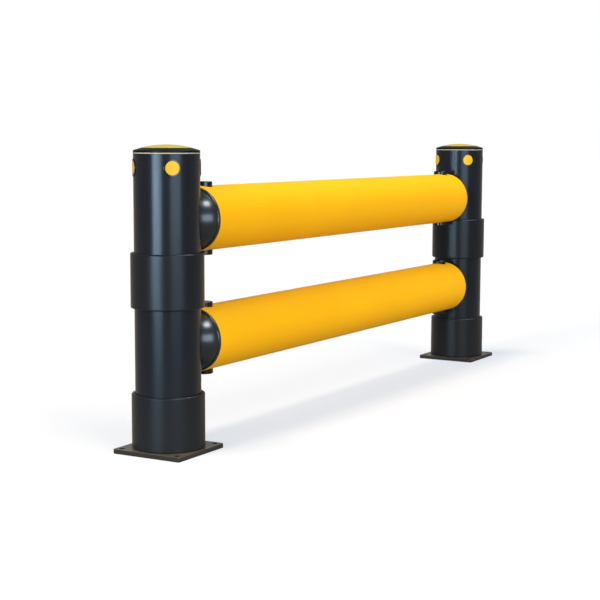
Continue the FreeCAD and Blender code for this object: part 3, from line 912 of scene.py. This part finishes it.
def softened(corners: np.ndarray, reach: np.ndarray, steps: int = 7) -> np.ndarray:
    """Rounds the corners of a profile.

    Each corner P gives way to the parabola (1 - t)^2 A + 2 t (1 - t) P + t^2 B, with t from 0 to
    1, where A and B lie on the runs before and after P, its reach away from it.

    Args:
        corners: the profile's corners, one row of two numbers each; the last joins the first.
        reach: how far from each corner its rounding begins; 0 keeps the corner.
        steps: points on each rounding.

    Returns:
        The rounded profile, without doubles.
    """
    before = np.roll(corners, 1, axis=0) - corners
    after = np.roll(corners, -1, axis=0) - corners
    first = corners + reach[:, None] * before / np.linalg.norm(before, axis=1, keepdims=True)
    last = corners + reach[:, None] * after / np.linalg.norm(after, axis=1, keepdims=True)
    t = np.linspace(0.0, 1.0, steps)[None, :, None]
    curve = (1 - t) ** 2 * first[:, None] + 2 * t * (1 - t) * corners[:, None] + t ** 2 * last[:, None]
    points = curve.reshape(-1, 2)
    return points[np.linalg.norm(points - np.roll(points, 1, axis=0), axis=1) > SAME_PLACE]


def bowed(low: float, high: float, radius: float, centre: float, steps: int = 24) -> np.ndarray:
    """An arc of a profile about a centre on the axis.

    At the distance r from the axis the height is the centre plus the root of R^2 - r^2.

    Args:
        low: the first point's distance from the axis.
        high: the last point's distance from the axis.
        radius: the sphere's radius R.
        centre: the sphere's centre.
        steps: points on the arc.

    Returns:
        One row of distance and height for each point.
    """
    away = np.linspace(low, high, steps)
    return np.stack([away, centre + np.sqrt(radius ** 2 - away ** 2)], axis=1)


def profile(*runs: Sequence) -> np.ndarray:
    """Joins corners and arcs into one soft profile.

    Args:
        *runs: a corner as its two numbers and its reach, or an arc's rows, which stay sharp.

    Returns:
        The rounded profile.
    """
    corners = [run if isinstance(run, np.ndarray) else np.array([run[:2]]) for run in runs]
    reaches = [np.zeros(len(run)) if isinstance(run, np.ndarray) else np.array([run[2]])
               for run in runs]
    return softened(np.vstack(corners), np.concatenate(reaches))


def carried_round(outline: np.ndarray, turns: int) -> np.ndarray:
    """Carries a profile round an upright axis.

    A point at the distance r and the height h goes to (r cos a, r sin a, h) at each angle a.

    Args:
        outline: the profile, one row of distance and height for each point.
        turns: columns of the grid.

    Returns:
        The grid of points.
    """
    angle = np.linspace(0.0, 2 * np.pi, turns, endpoint=False)[None, :]
    away, height = outline[:, :1], outline[:, 1:]
    return np.stack([away * np.cos(angle), away * np.sin(angle), height + 0 * angle], axis=-1)


def skinned(name: str, grid: np.ndarray, looped: bool = False) -> bpy.types.Mesh:
    """Makes a closed mesh of a grid whose columns go once round.

    Each row is joined to the next by four-sided faces. A looped grid joins its last row to its
    first. In any other grid the first and last rows are poles, and fans of triangles close them.
    Six times the volume is the sum over the triangles of a . (b x c), where a, b and c are the
    corners; where it is below 0, the skin is inside out and is turned.

    Args:
        name: the mesh's name.
        grid: rows of columns of points; two further numbers are a point's place in the chart.
        looped: whether the profile closes on itself.

    Returns:
        The mesh.
    """
    rows = grid if looped else grid[1:-1]
    count, around = rows.shape[:2]
    index = np.arange(count * around).reshape(count, around)
    lower = index if looped else index[:-1]
    upper = np.roll(index, -1, axis=0) if looped else index[1:]
    quads = np.stack([lower, np.roll(lower, -1, 1), np.roll(upper, -1, 1), upper], axis=-1)
    points, faces = rows.reshape(count * around, -1), quads.reshape(-1, 4).tolist()
    if not looped:
        pole = np.full(around, count * around)
        points = np.vstack([points, grid[0, 0], grid[-1, 0]])
        faces += np.stack([pole, np.roll(index[0], -1), index[0]], axis=-1).tolist()
        faces += np.stack([pole + 1, index[-1], np.roll(index[-1], -1)], axis=-1).tolist()
    mesh = bpy.data.meshes.new(name)
    mesh.from_pydata(points[:, :3].tolist(), [], faces)
    mesh.calc_loop_triangles()
    corners = np.empty(3 * len(mesh.loop_triangles), dtype=np.int32)
    mesh.loop_triangles.foreach_get("vertices", corners)
    a, b, c = np.moveaxis(points[corners.reshape(-1, 3), :3], 1, 0)
    if np.einsum("ij,ij->", a, np.cross(b, c)) < 0:
        mesh.flip_normals()
    if points.shape[1] > 3:
        chart = np.empty(len(mesh.loops), dtype=np.int32)
        mesh.loops.foreach_get("vertex_index", chart)
        mesh.uv_layers.new(name="chart").data.foreach_set("uv", points[chart, 3:].ravel())
    mesh.polygons.foreach_set("use_smooth", np.ones(len(mesh.polygons), dtype=bool))
    mesh.set_sharp_from_angle(angle=math.radians(SHARP_DEG))
    return mesh


# Sub-assemblies


@dataclass
class SubAssembly:
    """What all sub-assemblies share.

    Attributes:
        materials: the material of each slot.
    """

    materials: dict[str, bpy.types.Material]

    def dress(self, *names: str) -> None:
        """Gives the frame's own nodes the materials of their slots.

        Args:
            *names: the nodes.
        """
        for name in names:
            data = frame["nodes"][name].data
            data.materials.clear()
            data.materials.append(self.materials[SLOTS[name]])
            LOG.info("dressed %s in %s", name, SLOTS[name])

    def stand_for(self, node: str, mesh: bpy.types.Mesh, finish: Optional[str] = None) -> None:
        """Puts a finer surface in the place of a node.

        Args:
            node: the node that it stands for.
            mesh: the surface, already in its place.
            finish: the name of its finish, where that isn't its slot's.
        """
        piece = placed(f"fine_{node}", mesh)
        mesh.materials.append(self.materials[finish or SLOTS[node]])
        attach(piece, ROOT)
        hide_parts(node)
        LOG.info("made %s of %d faces", piece.name, len(mesh.polygons))

    def build(self) -> None:
        """Builds and dresses the sub-assembly."""
        raise NotImplementedError


@dataclass
class Post(SubAssembly):
    """A post on its base plate, with its two collars and its socket screws."""

    side: Side

    def build(self) -> None:
        """Dresses the post's nodes."""
        self.dress(*(f"{self.side.value}_{name}" for name in (
            "base_plate", "post", "socket_screws", "lower_collar", "middle_collar")))


@dataclass
class PostTop(SubAssembly):
    """The seal ring, the domed cap and the disc on a post.

    Attributes:
        side: the post's end of the barrier.
        radius: the post's radius.
        rim: height of the cap's upright rim.
        dome_rise: the dome above the rim.
        shell: thickness of the dome.
        skirt: outer radius of the skirt inside the post.
        skirt_wall: thickness of the skirt.
        disc: radius of the disc.
        disc_play: gap round the disc.
        disc_sink: depth of the disc's seat.
        disc_proud: the disc above the dome.
        seal_proud: the seal ring past the post's surface.
        seal_width: width of the seal ring.
        seat_soft: reach of the disc seat's rounding.
        disc_soft: reach of the disc face's rounding.
        disc_gap: from the end of the disc's face to its edge.
        shoulder_soft: reach of the shoulder's rounding.
        shoulder_gap: from the end of the dome to the shoulder.
        rim_soft: reach of the rounding at the rim's foot.
        skirt_soft: reaches at the skirt's foot, outside and inside.
        under_soft: reach between the skirt and the dome's underside.
        under_gap: from the end of the underside to the skirt.
        bead_soft: reaches on the seal ring, inside and outside.
        columns: columns of each grid.
    """

    side: Side
    radius: float = 100 * MM
    rim: float = 7 * MM
    dome_rise: float = 16.5 * MM
    shell: float = 5 * MM
    skirt: float = 89.7 * MM
    skirt_wall: float = 5 * MM
    disc: float = 74 * MM
    disc_play: float = 0.3 * MM
    disc_sink: float = 1.5 * MM
    disc_proud: float = 0.5 * MM
    seal_proud: float = 0.5 * MM
    seal_width: float = 10.5 * MM
    seat_soft: float = 0.5 * MM
    disc_soft: float = 0.9 * MM
    disc_gap: float = 2 * MM
    shoulder_soft: float = 1.6 * MM
    shoulder_gap: float = 2.4 * MM
    rim_soft: float = 0.7 * MM
    skirt_soft: Pair = (1.2 * MM, 0.8 * MM)
    under_soft: float = 2.5 * MM
    under_gap: float = 6 * MM
    bead_soft: Pair = (0.3 * MM, 1.3 * MM)
    columns: int = 192

    def __post_init__(self) -> None:
        """Works out the dome's sphere from the rim's radius and the rise."""
        self.low, self.high = (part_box(f"{self.side.value}_seal_ring")[end][2] for end in (0, 1))
        self.sphere = (self.radius ** 2 + self.dome_rise ** 2) / (2 * self.dome_rise)
        self.centre = self.high + self.rim + self.dome_rise - self.sphere

    def _turned(self, node: str, outline: np.ndarray, looped: bool = False,
                finish: Optional[str] = None) -> None:
        """Carries a profile round the post's axis and puts it in a node's place.

        Args:
            node: the node's name without its side.
            outline: the profile.
            looped: whether the profile closes on itself.
            finish: the name of its finish, where that isn't its slot's.
        """
        grid = carried_round(outline, self.columns) + np.array([*post_foot(self.side)])
        name = f"{self.side.value}_{node}"
        self.stand_for(name, skinned(name, grid, looped), finish)

    def cap(self) -> None:
        """Makes the cap: a shell under a sphere, with a seat for the disc, a rim and a skirt."""
        hole, seat, under = (self.disc + self.disc_play, self.sphere - self.disc_sink,
                             self.sphere - self.shell)
        shoulder = self.high + self.rim
        bore = self.skirt - self.skirt_wall
        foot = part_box(f"{self.side.value}_cap")[0][2]
        seat_edge, dome_edge, under_edge = (
            float(bowed(place, place, sphere, self.centre, 1)[0, 1])
            for place, sphere in ((hole, seat), (hole, self.sphere), (bore, under)))
        self._turned("cap", profile(
            bowed(0.0, hole - ARC_GAP, seat, self.centre), (hole, seat_edge, CRISP),
            (hole, dome_edge, self.seat_soft),
            bowed(hole + ARC_GAP, self.radius - self.shoulder_gap, self.sphere, self.centre),
            (self.radius, shoulder, self.shoulder_soft), (self.radius, self.high, self.rim_soft),
            (self.skirt, self.high, CRISP), (self.skirt, foot, self.skirt_soft[0]),
            (bore, foot, self.skirt_soft[1]), (bore, under_edge, self.under_soft),
            bowed(bore - self.under_gap, 0.0, under, self.centre)), finish="cap_black")

    def cap_disc(self) -> None:
        """Makes the disc: a slice between two spheres with a soft edge."""
        seat, top = self.sphere - self.disc_sink, self.sphere + self.disc_proud
        seat_edge, top_edge = (float(bowed(self.disc, self.disc, sphere, self.centre, 1)[0, 1])
                               for sphere in (seat, top))
        self._turned("cap_disc", profile(
            bowed(0.0, self.disc - ARC_GAP, seat, self.centre), (self.disc, seat_edge, CRISP),
            (self.disc, top_edge, self.disc_soft),
            bowed(self.disc - self.disc_gap, 0.0, top, self.centre)))

    def seal_ring(self) -> None:
        """Makes the seal ring: a flat bead whose outer side is round."""
        out = self.radius + self.seal_proud
        inner = out - self.seal_width
        inside, outside = self.bead_soft
        self._turned("seal_ring", profile(
            (inner, self.low, inside), (out, self.low, outside),
            (out, self.high, outside), (inner, self.high, inside)), looped=True)

    def build(self) -> None:
        """Builds the cap, the disc and the seal ring."""
        self.cap()
        self.cap_disc()
        self.seal_ring()


@dataclass
class Reflector(SubAssembly):
    """A round reflector on a post: a lens in a body with a stem through the post's wall.

    Attributes:
        side: the post's end of the barrier.
        corner: the reflector's place round the post.
        post: the post's radius.
        body: radius of the body.
        body_seat: the body's back above the post's surface.
        body_face: the body's face above the post's surface.
        lens: radius of the lens.
        lens_play: gap round the lens.
        lens_seat: the lens's back above the post's surface.
        lens_face: the lens's face above the post's surface.
        crown: how far the lens's face sinks towards its edge.
        stem: radius of the stem.
        stem_depth: the stem's end below the post's surface.
        chart_side: side of the square that the chart covers.
        face_gap: from the end of the lens's face to its edge.
        lens_soft: reach of the lens face's rounding.
        seat_soft: reach of the lens seat's rounding.
        lip_soft: reach of the body lip's rounding.
        back_soft: reach of the body back's rounding.
        root_soft: reach of the rounding at the stem's root.
        stem_soft: reach of the rounding at the stem's end.
        face_rows: rows of the lens's face.
        seat_rows: rows of the lens's seat.
        columns: columns of each grid.
    """

    side: Side
    corner: Corner
    post: float = 100 * MM
    body: float = 26.25 * MM
    body_seat: float = 0.2 * MM
    body_face: float = 2.2 * MM
    lens: float = 21 * MM
    lens_play: float = 0.2 * MM
    lens_seat: float = 1.5 * MM
    lens_face: float = 2.7 * MM
    crown: float = 0.35 * MM
    stem: float = 10 * MM
    stem_depth: float = 14 * MM
    chart_side: float = 50 * MM
    face_gap: float = 1.2 * MM
    lens_soft: float = 0.4 * MM
    seat_soft: float = 0.3 * MM
    lip_soft: float = 1.1 * MM
    back_soft: float = 0.4 * MM
    root_soft: float = 0.1 * MM
    stem_soft: float = 1.5 * MM
    face_rows: int = 22
    seat_rows: int = 12
    columns: int = 96

    def _on_post(self, node: str, outline: np.ndarray) -> None:
        """Carries a profile round the reflector's axis and bends it to the post's curve.

        A point that lies u along the post's girth, v up and w above the post's surface goes to
        the distance root((R + w)^2 - u^2) from the post's axis along the reflector's own axis.
        The chart is u and v in shares of its side, from its middle.

        Args:
            node: the last word of the node's name.
            outline: the profile, one row of distance from the axis and w for each point.
        """
        name = f"{self.side.value}_{self.corner.value}_{node}"
        low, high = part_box(name)
        foot = np.array([*post_foot(self.side)])
        middle = (np.array(low) + np.array(high)) / 2 - foot
        out = np.array([np.sign(middle[0]), np.sign(middle[1]), 0.0]) * math.sqrt(0.5)
        girth = np.array([-out[1], out[0], 0.0])
        u, v, w = np.moveaxis(carried_round(outline, self.columns), -1, 0)
        along = np.sqrt((self.post + w) ** 2 - u ** 2)
        up = np.stack([0 * v, 0 * v, v + middle[2]], axis=-1)
        grid = foot + along[..., None] * out + u[..., None] * girth + up
        chart = np.stack([u, v], axis=-1) / self.chart_side + 0.5
        self.stand_for(name, skinned(name, np.concatenate([grid, chart], axis=-1)))

    def reflector_lens(self) -> None:
        """Makes the lens: its face sinks as the square of the distance from its middle."""
        away = np.linspace(self.lens - self.face_gap, 0.0, self.face_rows)
        face = np.stack([away, self.lens_face - self.crown * (away / self.lens) ** 2], axis=1)
        back = np.stack([away[::-1], 0 * away + self.lens_seat], axis=1)
        self._on_post("lens", profile(
            back, (self.lens, self.lens_seat, CRISP),
            (self.lens, self.lens_face - self.crown, self.lens_soft), face))

    def reflector_body(self) -> None:
        """Makes the body: a soft lip round the lens's seat, and the stem behind."""
        hole = self.lens + self.lens_play
        away = np.linspace(0.0, hole - ARC_GAP, self.seat_rows)
        self._on_post("reflector", profile(
            np.stack([away, 0 * away + self.lens_seat], axis=1), (hole, self.lens_seat, CRISP),
            (hole, self.body_face, self.seat_soft), (self.body, self.body_face, self.lip_soft),
            (self.body, self.body_seat, self.back_soft),
            (self.stem, self.body_seat, self.root_soft),
            (self.stem, -self.stem_depth, self.stem_soft), (0.0, -self.stem_depth, 0.0)))

    def build(self) -> None:
        """Builds the body and the lens."""
        self.reflector_body()
        self.reflector_lens()


@dataclass
class Rail(SubAssembly):
    """A rail tube."""

    level: Level

    def build(self) -> None:
        """Dresses the tube."""
        self.dress(f"{self.level.value}_rail")


@dataclass
class RailEnd(SubAssembly):
    """What joins one end of a rail to its post."""

    side: Side
    level: Level

    def build(self) -> None:
        """Dresses the coupler, the pin, its cap and the dowel."""
        self.dress(*(f"{self.side.value}_{self.level.value}_{name}" for name in (
            "coupler", "pin", "pin_cap", "dowel")))


def main() -> None:
    """Builds the scene in order."""
    logging.basicConfig(level=logging.INFO, format="%(message)s")
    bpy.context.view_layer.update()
    scene = bpy.context.scene
    scene.view_settings.view_transform = "Standard"
    materials = Finishes().by_slot()
    for side in Side:
        Post(materials, side).build()
        PostTop(materials, side).build()
        for corner in Corner:
            Reflector(materials, side, corner).build()
    for level in Level:
        Rail(materials, level).build()
        for side in Side:
            RailEnd(materials, side, level).build()
    Studio().build()
    PhotoCamera().build()


if __name__ == "__main__":
    main()
